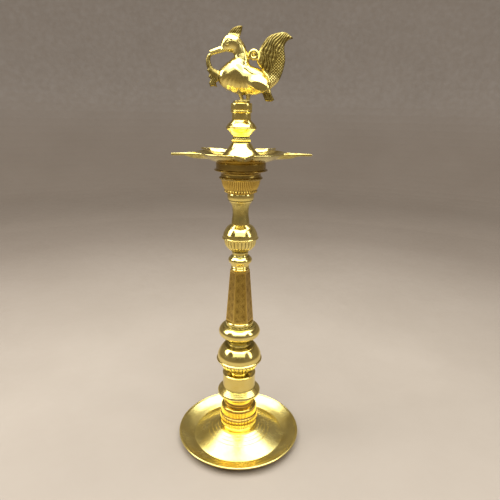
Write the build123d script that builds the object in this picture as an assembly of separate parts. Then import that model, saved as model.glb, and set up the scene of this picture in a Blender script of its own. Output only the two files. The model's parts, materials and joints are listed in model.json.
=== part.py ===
from build123d import *
import os

# A brass standing oil lamp (samai): a drip dish, a turned column in threaded sections,
# a five-spouted oil plate, and a cast hamsa bird on top. Millimetres, +Z up, the lamp's
# axis is Z, and the origin is on that axis in the plane that the lamp stands on.

# ---- driving dimensions -------------------------------------------------------------
DISH_RIM_R = 96.0           # drip dish, outer radius of its lip
DISH_RIM_Z = 13.2
DISH_VALLEY_R = 70.0        # lowest ring of the dish, between its lip and its stepped centre
DISH_FOOT_R = 62.0          # inner edge of the ring on which the lamp stands

# heights at which one section ends and the next begins
Z_FOOT_RING = 20.8
Z_FOOT = 30.0
Z_DRUM = 77.0
Z_BULB = 116.0
Z_TORUS = 164.0
Z_SHAFT_RING = 196.0
Z_SHAFT = 203.0
Z_TOP_RING = 284.0
Z_COLLAR = 290.0
Z_PETAL = 309.0
Z_VASE = 352.0
Z_CUP = 397.0
Z_LOWER_DISC = 416.0
Z_UPPER_DISC = 420.0
Z_SEAT_DRUM = 430.0
Z_PLATE = 439.2
Z_KNOP = 475.6
Z_SOCKET = 494.6
Z_FINIAL_COLLAR = 503.5
Z_PLINTH = 516.2
Z_CREST = 610.0             # overall height

SHAFT_BOTTOM_R = 20.7       # six-sided shaft, across the corners / 2
SHAFT_TOP_R = 14.4
SHAFT_TURN = 5.0            # degrees that its front face is turned from the bird's side

PLATE_WALL = 2.0
PLATE_RIM_R = 62.0
PLATE_RIM_Z = 453.0
PLATE_SEAT_R = 34.0         # flat middle of the plate, on the seat drum
SPOUTS = 5
SPOUT_TIP_R = 97.0
SPOUT_ROOT_R = 46.0
SPOUT_HALF_WIDTH = 20.0     # at its root
SPOUT_TIP_HALF_WIDTH = 0.5
FIRST_SPOUT_AZIMUTH = 274.0

# threaded joints: a male stud hangs from each section into the section below it
STUD_R = 8.0                # column, M16
SHAFT_STUD_R = 7.0          # top of the shaft, M14
STEM_STUD_R = 6.0           # through the oil plate, M12
BIRD_STUD_R = 4.0           # under the bird, M8
STUD_GRIP = 16.0            # length of stud below the joint face
STEM_GRIP = 15.0
STEM_HOLE_DEPTH = 20.0      # below the seat drum's underside
BIRD_HOLE_FLOOR = 484.5
THREAD_CLEARANCE = 0.05     # radial, stud to socket
LOOSE_CLEARANCE = 0.4       # radial, stud to the loose ring around it
SOCKET_RUNOUT = 1.0         # socket depth past the stud's end
SPIGOT_R = 9.0              # soldered spigots that join castings of one section
SPIGOT_GRIP = 6.0
SPIGOT_CLEARANCE = 0.02
STEM_SPIGOT_R = 7.0
WASHER_T = 1.5              # oil-tight washer under the stem
WASHER_R = 15.0


# ---- helpers ------------------------------------------------------------------------
def outline(start, *runs):
    """Face in the XZ plane. A run is a point, or a list of points for a smooth curve."""
    edges = []
    here = start
    for run in runs:
        if isinstance(run, list):
            points = [here, *run]
            edges.append(Spline(*points))
            here = run[-1]
        else:
            edges.append(Line(here, run))
            here = run
    edges.append(Line(here, start))
    return Plane.XZ * make_face(edges)


def turned(*outline_runs):
    """Solid of revolution about Z from an outline of (radius, height) points."""
    return revolve(outline(*outline_runs), Axis.Z)


def rod(radius, low, high):
    """Cylinder on the lamp's axis between two heights."""
    return Pos(0, 0, low) * Cylinder(radius, high - low, align=(Align.CENTER, Align.CENTER, Align.MIN))


def socket(radius, face, grip):
    """Tapped hole that takes a stud of this radius, down from a joint face."""
    return rod(radius + THREAD_CLEARANCE, face - grip - SOCKET_RUNOUT, face)


def stud(radius, top, face, grip):
    """Male stud from the underside of a section, through any ring, into the next one."""
    return rod(radius, face - grip, top)


def spigot_hole(face):
    return rod(SPIGOT_R + SPIGOT_CLEARANCE, face, face + SPIGOT_GRIP + SOCKET_RUNOUT)


def spigot(face):
    return rod(SPIGOT_R, face, face + SPIGOT_GRIP)


# ---- base ---------------------------------------------------------------------------
def base_dish():
    """Drip dish: an upturned lip, a valley that the lamp stands on and a stepped centre."""
    top = turned(
        (0, 0), (DISH_VALLEY_R + 6, 0),
        [(DISH_RIM_R - 9, 4.0), (DISH_RIM_R, DISH_RIM_Z - 1.4)],
        [(DISH_RIM_R - 0.6, DISH_RIM_Z), (DISH_RIM_R - 2.4, DISH_RIM_Z - 0.4)],
        [(86.0, 6.0), (DISH_VALLEY_R, 3.0)],
        [(60.0, 6.4), (48.5, 11.6)], (48.5, 12.2),
        (43.0, 14.4), (43.0, 15.0), (38.0, 17.0), (38.0, 17.6), (33.0, 19.2), (33.0, Z_FOOT_RING),
        (0, Z_FOOT_RING),
    )
    hollow = turned(
        (14.0, -1), (DISH_FOOT_R, -1), (DISH_FOOT_R, 0),
        [(52.0, 6.0), (40.0, 12.5)], (28.0, 17.4), (14.0, 17.4),
    )
    return top - hollow - socket(STUD_R, Z_FOOT_RING, STUD_GRIP)


def loose_ring(outer, bore):
    """Turned ring that lies between two sections, free on the stud that passes through it."""
    return outer - rod(bore + LOOSE_CLEARANCE, 0, Z_CREST)


def foot_ring():
    face, top = Z_FOOT_RING, Z_FOOT
    body = turned(
        (0, face), (26.4, face), [(28.2, face + 1.6), (28.2, face + 4.2)],
        (27.4, face + 4.6), (28.4, face + 5.2), (28.4, top - 0.8), (27.8, top), (0, top),
    )
    return loose_ring(body, STUD_R)


# ---- lower column -------------------------------------------------------------------
def foot():
    body = turned(
        (0, Z_FOOT), (28.2, Z_FOOT), [(29.6, 34.0), (30.4, 39.0), (29.4, 43.0)],
        (27.2, 44.2), [(27.9, 46.5), (27.9, 54.5)], [(26.6, 57.6), (23.6, 59.4)],
        (21.4, 60.2), (21.4, 61.4), [(23.6, 62.6), (21.4, 64.0)], (21.0, 66.0),
        [(21.4, 70.0), (23.4, 74.6)], (25.4, Z_DRUM), (0, Z_DRUM),
    )
    return body + stud(STUD_R, Z_FOOT, Z_FOOT_RING, STUD_GRIP) + spigot(Z_DRUM)


def drum():
    """Flanged drum with a dished top."""
    body = turned(
        (0, Z_DRUM), (30.0, Z_DRUM), [(33.0, 79.6), (33.4, 82.6), (32.6, 84.4)],
        (31.2, 85.0), (31.2, 85.8), (29.2, 86.6), (29.2, 87.4), (27.2, 88.2), (27.2, 89.0), (25.2, 89.8),
        (25.2, 112.4), [(25.8, 113.8), (24.4, 115.0)], [(20.0, 112.6), (14.0, 113.4)],
        (13.6, Z_BULB), (0, Z_BULB),
    )
    return body - spigot_hole(Z_DRUM) + spigot(Z_BULB)


def bulb_knop():
    """Lower bulb: a fluted bowl under a thin lip, and a plain dome above it."""
    body = turned(
        (0, Z_BULB), (13.6, Z_BULB), [(24.0, 123.4), (30.6, 132.4), (32.0, 137.6)],
        (35.0, 138.2), (35.0, 139.6), (33.3, 140.4),
        [(32.6, 149.0), (25.4, 160.6), (18.6, 162.4)], (17.4, 162.6), (17.4, Z_TORUS), (0, Z_TORUS),
    )
    return body - spigot_hole(Z_BULB) + spigot(Z_TORUS)


def torus_knop():
    """Upper flattened knop, on a short cone."""
    body = turned(
        (0, Z_TORUS), (18.2, Z_TORUS), (18.2, 166.0), (17.2, 166.6), (17.4, 168.0),
        [(21.0, 172.4), (25.4, 175.6)], [(30.6, 181.6), (31.2, 187.6), (27.4, 193.6), (22.4, 195.4)],
        (20.0, 195.5), (20.0, Z_SHAFT_RING), (0, Z_SHAFT_RING),
    )
    return body - spigot_hole(Z_TORUS) - socket(STUD_R, Z_SHAFT_RING, STUD_GRIP)


# ---- shaft --------------------------------------------------------------------------
def shaft_ring():
    face, top = Z_SHAFT_RING, Z_SHAFT
    body = turned(
        (0, face), (20.2, face), (20.2, face + 0.8), (19.0, face + 1.2), (19.0, face + 2.0),
        [(20.9, face + 3.0), (20.9, face + 5.6)], (20.0, top), (0, top),
    )
    return loose_ring(body, STUD_R)


def hex_shaft():
    """Six-sided tapering shaft."""
    bottom = Pos(0, 0, Z_SHAFT) * Rot(0, 0, SHAFT_TURN) * RegularPolygon(SHAFT_BOTTOM_R, 6)
    top = Pos(0, 0, Z_TOP_RING) * Rot(0, 0, SHAFT_TURN) * RegularPolygon(SHAFT_TOP_R, 6)
    body = loft([bottom.face(), top.face()])
    lower_stud = stud(STUD_R, Z_SHAFT, Z_SHAFT_RING, STUD_GRIP)
    return body + lower_stud - socket(SHAFT_STUD_R, Z_TOP_RING, STUD_GRIP)


def shaft_top_ring():
    face, top = Z_TOP_RING, Z_COLLAR
    body = turned(
        (0, face), (12.8, face), [(13.6, face + 1.4), (12.8, face + 2.8)], (12.2, face + 3.2),
        [(13.4, face + 4.6), (12.8, top)], (0, top),
    )
    return loose_ring(body, SHAFT_STUD_R)


# ---- upper column -------------------------------------------------------------------
def collar():
    body = turned(
        (0, Z_COLLAR), (13.2, Z_COLLAR), (13.6, 292.2), [(16.9, 297.0), (16.8, 301.0), (13.8, 304.6)],
        (12.2, 305.0), [(11.3, 307.4), (12.0, Z_PETAL)], (0, Z_PETAL),
    )
    return body + stud(SHAFT_STUD_R, Z_COLLAR, Z_TOP_RING, STUD_GRIP) + spigot(Z_PETAL)


def petal_knop():
    """Fluted bowl under a thin lip, and a plain dome above it."""
    body = turned(
        (0, Z_PETAL), (12.0, Z_PETAL), (12.0, 312.4), [(17.4, 316.2), (21.8, 322.0), (23.4, 330.8)],
        (26.2, 331.6), (26.2, 332.8), (25.0, 333.4), [(24.0, 339.0), (19.4, 347.4), (13.0, Z_VASE)],
        (0, Z_VASE),
    )
    return body - spigot_hole(Z_PETAL) + spigot(Z_VASE)


def vase_neck():
    body = turned(
        (0, Z_VASE), (13.0, Z_VASE), [(12.2, 359.0), (11.3, 367.5), (12.4, 378.0), (17.0, 386.0)],
        (17.9, 386.4), (17.9, 387.6), [(18.8, 391.0), (18.8, 395.0)], (18.2, Z_CUP), (0, Z_CUP),
    )
    return body - spigot_hole(Z_VASE) + rod(SPIGOT_R, Z_CUP, Z_UPPER_DISC)


def bored(body):
    """Casting that slips over the vase neck's spigot."""
    return body - rod(SPIGOT_R + SPIGOT_CLEARANCE, Z_CUP - 1, Z_UPPER_DISC)


def ribbed_cup():
    top = Z_LOWER_DISC
    return bored(turned(
        (0, Z_CUP), (19.0, Z_CUP), [(22.4, 398.4), (23.2, 400.4)], (22.4, 401.6),
        [(25.4, 407.4), (27.6, top)], (0, top),
    ))


def lower_disc():
    face, top = Z_LOWER_DISC, Z_UPPER_DISC
    return bored(turned(
        (0, face), (28.6, face), (30.2, face + 1.4), (30.2, face + 2.4), (28.4, top), (0, top),
    ))


def upper_disc():
    """Thin wide disc on a short hub."""
    body = turned(
        (0, Z_UPPER_DISC), (28.0, Z_UPPER_DISC), [(27.6, 424.0), (29.6, 426.6)], (36.9, 428.2),
        (36.9, 429.2), (35.0, Z_SEAT_DRUM), (0, Z_SEAT_DRUM),
    )
    return body - socket(STEM_STUD_R, Z_SEAT_DRUM, STEM_HOLE_DEPTH)


def seat_drum():
    """Drum that the oil plate rests on."""
    body = turned(
        (0, Z_SEAT_DRUM), (34.4, Z_SEAT_DRUM), (34.4, Z_PLATE - 0.6), (33.8, Z_PLATE), (0, Z_PLATE),
    )
    return body - rod(STEM_STUD_R + THREAD_CLEARANCE, Z_SEAT_DRUM - 1, Z_PLATE)


# ---- oil plate ----------------------------------------------------------------------
def spout_plan(root, half_width, tip):
    """Pointed spout seen from above, along +X, with slightly hollow sides."""
    waist = (root + 0.42 * (tip - root), half_width * 0.40)
    point = (tip, SPOUT_TIP_HALF_WIDTH)
    edges = [
        Spline((root, half_width), waist, point),
        Line(point, (tip, -point[1])),
        Spline((tip, -point[1]), (waist[0], -waist[1]), (root, -half_width)),
        Line((root, -half_width), (root, half_width)),
    ]
    return make_face(edges)


def spout(root, half_width, tip, keel):
    """Spout block between the line of its keel and a level above the rim."""
    above = PLATE_RIM_Z + 10
    start, *rest = keel
    side = outline(start, *rest, (rest[-1][0], above), (start[0], above))
    block = extrude(side, amount=2 * half_width, both=True)
    plan = extrude(Pos(0, 0, Z_PLATE - 5) * spout_plan(root, half_width, tip), amount=60)
    return block & plan


def around(solid):
    """One copy at each spout's azimuth."""
    step = 360.0 / SPOUTS
    return [Rot(0, 0, FIRST_SPOUT_AZIMUTH + index * step) * solid for index in range(SPOUTS)]


def oil_plate():
    """Shallow bowl with five wick spouts: a rounded trough that ends in a thin point."""
    lip = PLATE_RIM_Z
    floor = Z_PLATE + PLATE_WALL
    outer = turned((0, Z_PLATE), (PLATE_SEAT_R, Z_PLATE), [(50.0, 446.4), (PLATE_RIM_R, lip)], (0, lip))
    inner = turned((0, floor), (PLATE_SEAT_R, floor), [(49.0, 448.2), (PLATE_RIM_R - 2.4, lip)], (0, lip))
    end = SPOUT_TIP_R + 5
    keel = [(SPOUT_ROOT_R, 443.0), (60.0, 444.2), (71.0, 446.8), (78.0, 450.4), (end, 451.0)]
    channel = [(SPOUT_ROOT_R - 4, 444.6), (60.0, 446.4), (70.0, 448.8), (76.0, 452.0), (end, 452.6)]
    outer_spout = spout(SPOUT_ROOT_R, SPOUT_HALF_WIDTH, SPOUT_TIP_R, keel)
    inner_spout = spout(SPOUT_ROOT_R - 4, SPOUT_HALF_WIDTH - 2.6, SPOUT_TIP_R - 10, channel)
    shell = outer.fuse(*around(outer_spout)).cut(inner, *around(inner_spout))
    lid = Pos(0, 0, lip) * Box(300, 300, 40, align=(Align.CENTER, Align.CENTER, Align.MIN))
    return shell - lid - rod(STEM_STUD_R + LOOSE_CLEARANCE, Z_PLATE - 1, floor + 1)


# ---- stem ---------------------------------------------------------------------------
Z_WASHER = Z_PLATE + PLATE_WALL
Z_BELL = Z_WASHER + WASHER_T


def stem_washer():
    return loose_ring(rod(WASHER_R, Z_WASHER, Z_BELL), STEM_STUD_R)


def stem_bell():
    body = turned(
        (0, Z_BELL), (27.0, Z_BELL), (27.0, 444.6), [(25.4, 449.6), (18.4, 457.0), (13.4, 464.6)],
        (12.2, 465.2), (12.2, 466.4), [(13.0, 468.2), (12.2, 470.0)], (11.6, 470.6), (11.6, 474.2),
        (12.6, Z_KNOP), (0, Z_KNOP),
    )
    spigot_top = rod(STEM_SPIGOT_R, Z_KNOP, Z_KNOP + SPIGOT_GRIP)
    return body + stud(STEM_STUD_R, Z_BELL, Z_PLATE, STEM_GRIP) + spigot_top


def stem_knop():
    """Double-edged knop under the socket."""
    body = turned(
        (0, Z_KNOP), (13.2, Z_KNOP), [(16.0, 479.4), (19.8, 482.4)], (20.9, 483.4), (20.9, 484.4),
        (19.8, 485.0), (20.8, 485.8), [(18.2, 489.2), (14.8, 492.6), (13.0, Z_SOCKET)], (0, Z_SOCKET),
    )
    grip = rod(STEM_SPIGOT_R + SPIGOT_CLEARANCE, Z_KNOP, Z_KNOP + SPIGOT_GRIP + SOCKET_RUNOUT)
    return body - grip - rod(BIRD_STUD_R + THREAD_CLEARANCE, BIRD_HOLE_FLOOR, Z_SOCKET)


def stem_socket():
    body = turned(
        (0, Z_SOCKET), (12.8, Z_SOCKET), (12.6, Z_FINIAL_COLLAR), (0, Z_FINIAL_COLLAR),
    )
    return body - rod(BIRD_STUD_R + THREAD_CLEARANCE, Z_SOCKET - 1, Z_FINIAL_COLLAR)


def finial_collar():
    face, top = Z_FINIAL_COLLAR, Z_PLINTH
    body = turned(
        (0, face), (13.2, face), [(14.3, face + 1.2), (14.3, top - 2.4)], [(14.0, top - 0.6), (12.8, top)],
        (0, top),
    )
    return loose_ring(body, BIRD_STUD_R)


# ---- hamsa --------------------------------------------------------------------------
def slab(thickness, *outline_runs):
    """Flat casting of a given thickness, upright in the lamp's XZ plane."""
    return extrude(outline(*outline_runs), amount=thickness / 2, both=True)


def egg(centre, half_sizes, lean=0.0):
    """Ellipsoid at (x, z), leaning about Y."""
    x, z = centre
    return Pos(x, 0, z) * Rot(0, lean, 0) * scale(Sphere(1), by=half_sizes)


def strut(start, end, radius):
    """Round bar between two (x, y, z) points."""
    return sweep(Plane(start, z_dir=Vector(*end) - Vector(*start)) * Circle(radius), path=Line(start, end))


def bent_bar(radius, bend, *points):
    """Round bar along straight runs joined by tangent arcs, in the XZ plane."""
    path = Plane.XZ * FilletPolyline(*points, radius=bend)
    return sweep((path ^ 0) * Circle(radius), path=path)


def tail():
    plume = slab(
        10.0,
        (27.6, 555.4),
        [(19.0, 568.0), (22.6, 582.3), (32.5, 596.9), (43.3, 601.6), (54.9, 602.7), (65.7, 595.4)],
        [(57.2, 592.0), (54.3, 584.0), (55.8, 567.0), (49.1, 545.4), (37.5, 533.5)], (20.0, 545.0),
    )
    under_tuft = slab(
        8.0, (26.7, 529.0), (30.9, 518.8), (40.0, 518.2), (43.7, 520.5), (37.5, 535.4), (28.0, 538.0),
    )
    return plume + under_tuft


def head():
    skull = egg((-15.6, 587.8), (12.0, 9.5, 10.8), lean=-12)
    beak = slab(
        8.0, (-24.0, 588.0), (-30.0, 584.4), (-42.6, 580.6), (-41.0, 575.4), (-36.8, 574.2), (-22.0, 581.0),
    )
    crest = slab(
        4.0, (-18.9, 596.0), [(-17.6, 602.4), (-8.1, 609.3), (0.6, Z_CREST)], [(-0.4, 601.0), (-4.2, 593.0)],
    )
    return [skull, beak, crest]


def hamsa():
    """Swan-like bird that holds a trailing vine in its beak, cast in one piece with its plinth."""
    neck = slab(
        16.0,
        (-21.0, 562.0), [(-12.6, 568.6), (-10.6, 577.7)], (-14.0, 590.0), (-4.8, 596.1),
        [(3.5, 585.4), (7.2, 573.9), (9.6, 562.0)], (2.0, 548.0), (-20.0, 548.0),
    )
    vine = bent_bar(2.7, 9.0, (-39.6, 578.0), (-46.0, 569.0), (-43.0, 553.0), (-26.0, 546.0))
    leaf = egg((-36.4, 541.6), (5.6, 3.6, 7.4), lean=-20)
    leaf_stalk = strut((-37.0, 0, 546.0), (-24.0, 0, 549.0), 3.0)
    scroll = Pos(15.1, 0, 575.4) * Rot(90, 0, 0) * Torus(4.2, 2.6)
    scroll_foot = slab(5.0, (6.0, 572.0), (6.0, 566.4), (21.0, 567.6), (23.0, 572.0))
    legs = [strut((-7.0, side * 5.0, 534.0), (-0.6, side * 3.0, 517.0), 2.2) for side in (-1, 1)]
    thigh = strut((7.4, 0, 530.0), (4.6, 0, 517.0), 2.4)
    plinth = rod(11.6, Z_PLINTH, 519.0)
    body = egg((4.0, 545.0), (34.0, 17.0, 19.0), lean=6)
    breast = egg((-15.0, 550.0), (15.6, 14.0, 14.0))
    return body.fuse(
        breast, neck, vine, leaf, leaf_stalk, scroll, scroll_foot, thigh, plinth, tail(), *legs, *head()
    )


def hamsa_stud():
    return rod(BIRD_STUD_R, Z_FINIAL_COLLAR - STUD_GRIP, Z_PLINTH)


# ---- write one file per piece ---------------------------------------------------------
PIECES = [
    base_dish, foot_ring, foot, drum, bulb_knop, torus_knop, shaft_ring, hex_shaft, shaft_top_ring, collar,
    petal_knop, vase_neck, ribbed_cup, lower_disc, upper_disc, seat_drum, oil_plate, stem_washer, stem_bell,
    stem_knop, stem_socket, finial_collar, hamsa, hamsa_stud,
]

os.makedirs("parts", exist_ok=True)
for piece in PIECES:
    solid = piece()
    export_step(solid, f"parts/{piece.__name__}.step")
    print(f"{piece.__name__}: {len(solid.solids())} solid, {solid.volume / 1000:.1f} cm3")
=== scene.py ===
import json
from math import cos, pi, radians, sin, tan

import bmesh
import bpy
import numpy as np
from mathutils import Matrix, Vector


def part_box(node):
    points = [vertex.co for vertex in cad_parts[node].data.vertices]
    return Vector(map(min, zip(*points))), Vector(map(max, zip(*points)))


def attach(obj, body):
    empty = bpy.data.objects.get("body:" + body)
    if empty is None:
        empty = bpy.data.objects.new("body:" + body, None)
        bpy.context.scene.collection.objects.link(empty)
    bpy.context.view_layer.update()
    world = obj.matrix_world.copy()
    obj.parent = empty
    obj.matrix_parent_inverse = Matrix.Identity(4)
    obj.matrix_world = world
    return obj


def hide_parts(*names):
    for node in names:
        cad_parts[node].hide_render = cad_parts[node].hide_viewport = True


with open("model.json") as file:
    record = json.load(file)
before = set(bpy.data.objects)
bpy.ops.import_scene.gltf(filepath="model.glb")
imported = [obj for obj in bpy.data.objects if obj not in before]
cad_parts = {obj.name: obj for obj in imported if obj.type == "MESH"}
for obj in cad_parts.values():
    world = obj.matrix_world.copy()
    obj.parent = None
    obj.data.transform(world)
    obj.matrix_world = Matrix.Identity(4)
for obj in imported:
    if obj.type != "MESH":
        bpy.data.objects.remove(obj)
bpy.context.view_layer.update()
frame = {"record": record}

# The brass standing lamp, piece by piece. Outlines are in millimetres as (radius, height above
# the piece's lower face), and each face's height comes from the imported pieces' own boxes. The
# bird's points are in millimetres in the lamp's own frame.

MM = 0.001                  # one millimetre in metres
TAU = 2 * pi
RECORD = frame["record"]
BODY_OF = {node: body for body, nodes in RECORD["behaviour"]["bodies"].items() for node in nodes}
SLOT_OF = {part["node"]: part["material_slot"] for part in RECORD["subparts"]}
THREAD_PITCH = 1.5
THREAD_DEPTH = 0.75
CORNER = 0.35               # radius worn onto every turned corner
BARE_STEP = 6.0             # spacing of an outline's points where it has no relief


def low(node):
    """Height of a piece's lower face."""
    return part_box(node)[0][2] / MM


def high(node):
    """Height of a piece's top."""
    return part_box(node)[1][2] / MM


# ---- meshes -------------------------------------------------------------------------
def make_object(name, verts, faces, tone=None):
    """Smooth-shaded mesh from millimetre points, with the patina depth of each point, which on some
    pieces also holds painted shade.
    """
    mesh = bpy.data.meshes.new(name)
    verts = np.asarray(verts, dtype=np.float32) * MM
    sizes = np.array([len(face) for face in faces], dtype=np.int32)
    corners = np.concatenate([np.asarray(face, dtype=np.int32) for face in faces])
    mesh.vertices.add(len(verts))
    mesh.vertices.foreach_set("co", verts.ravel())
    mesh.loops.add(len(corners))
    mesh.loops.foreach_set("vertex_index", corners)
    mesh.polygons.add(len(sizes))
    starts = np.concatenate([[0], np.cumsum(sizes)[:-1]]).astype(np.int32)
    mesh.polygons.foreach_set("loop_start", starts)
    mesh.polygons.foreach_set("use_smooth", np.ones(len(sizes), dtype=bool))
    layer = mesh.attributes.new("tone", "FLOAT", "POINT")
    values = np.zeros(len(verts)) if tone is None else np.clip(tone, 0, 1)
    layer.data.foreach_set("value", values.astype(np.float32))
    mesh.update(calc_edges=True)
    mesh.validate()
    obj = bpy.data.objects.new(name, mesh)
    bpy.context.collection.objects.link(obj)
    return obj


def smooth_run(points, steps):
    """Catmull-Rom curve through the points, without the first one."""
    pts = np.array(points, dtype=float)
    ends = np.vstack([2 * pts[0] - pts[1], pts, 2 * pts[-1] - pts[-2]])
    out = []
    for i in range(len(pts) - 1):
        a, b, c, d = ends[i:i + 4]
        for t in np.linspace(0, 1, steps + 1)[1:]:
            out.append(0.5 * (2 * b + (c - a) * t + (2 * a - 5 * b + 4 * c - d) * t**2
                              + (3 * b - a - 3 * c + d) * t**3))
    return out


def expand(runs, steps=8):
    """Polyline from runs: a run is a point, or a list of points for a smooth curve."""
    line = [np.array(runs[0], dtype=float)]
    for run in runs[1:]:
        if isinstance(run, list):
            line += smooth_run([line[-1], *run], steps)
        else:
            line.append(np.array(run, dtype=float))
    return line


def wear_corners(line, radius=CORNER):
    """Rounds each sharp turn of an outline a little, as polishing does."""
    out = [line[0]]
    for before, here, after in zip(line, line[1:], line[2:]):
        a, b = before - here, after - here
        la, lb = np.hypot(*a), np.hypot(*b)
        turn = np.dot(a, b) / (la * lb)
        if turn < -0.97:
            out.append(here)
            continue
        reach = min(radius, 0.4 * la, 0.4 * lb)
        start, end = here + a / la * reach, here + b / lb * reach
        for t in (0, 0.25, 0.5, 0.75, 1):
            out.append((1 - t)**2 * start + 2 * t * (1 - t) * here + t**2 * end)
    return out + [line[-1]]


def densify(line, spans):
    """Adds points where a relief needs them. spans are (low, high, step) heights."""
    out = [line[0]]
    for a, b in zip(line, line[1:]):
        length = np.hypot(*(b - a))
        under, over = min(a[1], b[1]), max(a[1], b[1])
        step = min([s for lo, hi, s in spans if over >= lo and under <= hi] + [BARE_STEP])
        count = max(1, int(np.ceil(length / step)))
        out += [a + (b - a) * k / count for k in range(1, count + 1)]
    return out


def envelope(z, start, end, soft):
    """1 between two heights, falling to 0 over a soft margin inside them."""
    rise = np.clip((z - start) / soft, 0, 1)
    fall = np.clip((end - z) / soft, 0, 1)
    return np.minimum(rise, fall) ** 0.5


def flutes(start, end, count, depth, soft=1.5, step=0.8):
    """Rounded lobes with narrow grooves between them."""
    def cut(phi, z):
        lobe = np.abs(np.sin(phi * count / 2)) ** 0.55
        return -depth * envelope(z, start, end, soft) * (1 - lobe)
    return {"span": (start, end, step), "cut": cut, "depth": depth}


def milling(start, end, count, depth, soft=0.8, step=0.6):
    """Narrow upright cuts with flat lands between them."""
    def cut(phi, z):
        wave = 0.5 + 0.5 * np.cos(phi * count)
        return -depth * envelope(z, start, end, soft) * np.clip(wave * 2.2 - 0.9, 0, 1)
    return {"span": (start, end, step), "cut": cut, "depth": depth}


def beads(start, end, count, height, step=0.3):
    """Row of beads standing in a groove."""
    def cut(phi, z):
        up = (z - (start + end) / 2) / (end - start) * 2
        along = ((phi * count / TAU) % 1 - 0.5) * 2
        ball = np.sqrt(np.clip(1 - up**2 - along**2, 0, 1))
        return np.where(np.abs(up) < 1, height * (ball - 0.75), 0)
    return {"span": (start, end, step), "cut": cut, "depth": height}


def thread(start, end):
    """Screw thread cut into a stud."""
    def cut(phi, z):
        turn = ((z - start) / THREAD_PITCH - phi / TAU) % 1
        return -THREAD_DEPTH * envelope(z, start + 0.6, end - 0.4, 0.8) * np.abs(2 * turn - 1)
    return {"span": (start, end, 0.3), "cut": cut, "depth": 0.9}


def ring_angles(count):
    """Even angles round the axis."""
    return np.arange(count) * TAU / count


def grid_index(rows, columns):
    """Point numbers of a grid that closes on itself round the axis, and each one's neighbour."""
    index = np.arange(rows * columns).reshape(rows, columns)
    return index, np.roll(index, -1, axis=1)


def face_rows(*corners):
    """List of faces from arrays of their corners."""
    return np.stack(corners, axis=1).tolist()


def lathe(name, line, angles, reliefs=(), toned=(), closed=False, shape=None):
    """Spins an outline of (radius, height) about the lamp's axis. Reliefs push it along its
    own normal. toned gives (low, high, amount) heights that are darkened: patina where the
    polisher's wheel misses, and painted reflection on the vase neck."""
    pts = np.array(line)
    near = pts[:, 0] < 1e-6
    if closed:
        tangent = np.roll(pts, -1, axis=0) - np.roll(pts, 1, axis=0)
    else:
        tangent = np.gradient(pts, axis=0)
    tangent /= np.maximum(np.hypot(tangent[:, 0], tangent[:, 1]), 1e-9)[:, None]
    normal = np.stack([tangent[:, 1], -tangent[:, 0]], axis=1)
    phi, z = np.meshgrid(angles, pts[:, 1])
    push = np.zeros_like(phi)
    tone = np.zeros_like(phi)
    for relief in reliefs:
        cut = relief["cut"](phi, z)
        push += cut
        tone = np.maximum(tone, np.clip(-cut / relief["depth"], 0, 1))
    for start, end, amount in toned:
        tone = np.maximum(tone, amount * envelope(z, start, end, 0.6))
    radius = pts[:, 0:1] + normal[:, 0:1] * push
    height = pts[:, 1:2] + normal[:, 1:2] * push
    if shape is not None:
        radius = shape(radius, phi, z)
    radius[near] = 0
    verts = np.stack([radius * np.cos(phi), radius * np.sin(phi), height], axis=2)
    rows, columns = phi.shape
    index, nxt = grid_index(rows, columns)
    faces = []
    pairs = [(i, i + 1) for i in range(rows - 1)] + ([(rows - 1, 0)] if closed else [])
    for i, j in pairs:
        if near[i] and near[j]:
            continue
        if near[i]:
            faces += face_rows(np.full(columns, index[i, 0]), nxt[j], index[j])
        elif near[j]:
            faces += face_rows(index[i], nxt[i], np.full(columns, index[j, 0]))
        else:
            faces += face_rows(index[i], nxt[i], nxt[j], index[j])
    obj = make_object(name, verts.reshape(-1, 3), faces, tone.ravel())
    drop_loose(obj)
    return obj


def drop_loose(obj):
    """Removes points that no face uses."""
    work = bmesh.new()
    work.from_mesh(obj.data)
    loose = [vert for vert in work.verts if not vert.link_faces]
    bmesh.ops.delete(work, geom=loose, context="VERTS")
    work.to_mesh(obj.data)
    work.free()


def raise_outline(runs, face):
    """Moves an outline up to its face, and gives the height that it ends at."""
    def up(point):
        return (point[0], point[1] + face)
    runs = [[up(p) for p in run] if isinstance(run, list) else up(run) for run in runs]
    last = runs[-1][-1] if isinstance(runs[-1], list) else runs[-1]
    return runs, last[1]


def raise_relief(relief, face):
    """Moves a relief up to its piece's face."""
    start, end, step = relief["span"]
    cut = relief["cut"]
    return {"span": (start + face, end + face, step), "cut": lambda phi, z: cut(phi, z - face),
            "depth": relief["depth"]}


def spin(name, runs, face, reliefs, toned, columns, closed=False):
    """Lathes an outline with worn corners. The toned heights are above the piece's face."""
    line = densify(wear_corners(expand(runs)), [relief["span"] for relief in reliefs])
    bands = [(start + face, end + face, amount) for start, end, amount in toned]
    return lathe(name, line, ring_angles(columns), reliefs, bands, closed)


def stud_below(stud, face, chamfer=1.2):
    """Outline of a stud that hangs below a face, from the axis to the face."""
    radius, length = stud
    end = face - length
    return [(0, end), (radius - chamfer, end), (radius, end + chamfer), (radius, face)]


def stud_thread(stud, face, run_in=1.0):
    """Thread along such a stud."""
    return thread(face - stud[1] + run_in, face - 0.6)


def socket_below(socket, top):
    """Outline of a tapped socket in a top face, down to the axis."""
    radius, depth = socket
    return [(radius + 0.8, top), (radius, top - 0.8), (radius, top - depth), (0, top - depth)]


def section(name, outline, face, stud=None, socket=None, reliefs=(), toned=(), columns=160):
    """Turned section: its outline, a threaded stud below it and a tapped socket in its top."""
    runs, top = raise_outline(outline, face)
    moved = [raise_relief(relief, face) for relief in reliefs]
    if stud:
        moved.append(stud_thread(stud, face))
    below = stud_below(stud, face) if stud else [(0, face)]
    above = socket_below(socket, top) if socket else [(0, top)]
    return spin(name, below + runs + above, face, moved, toned, columns)


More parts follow.
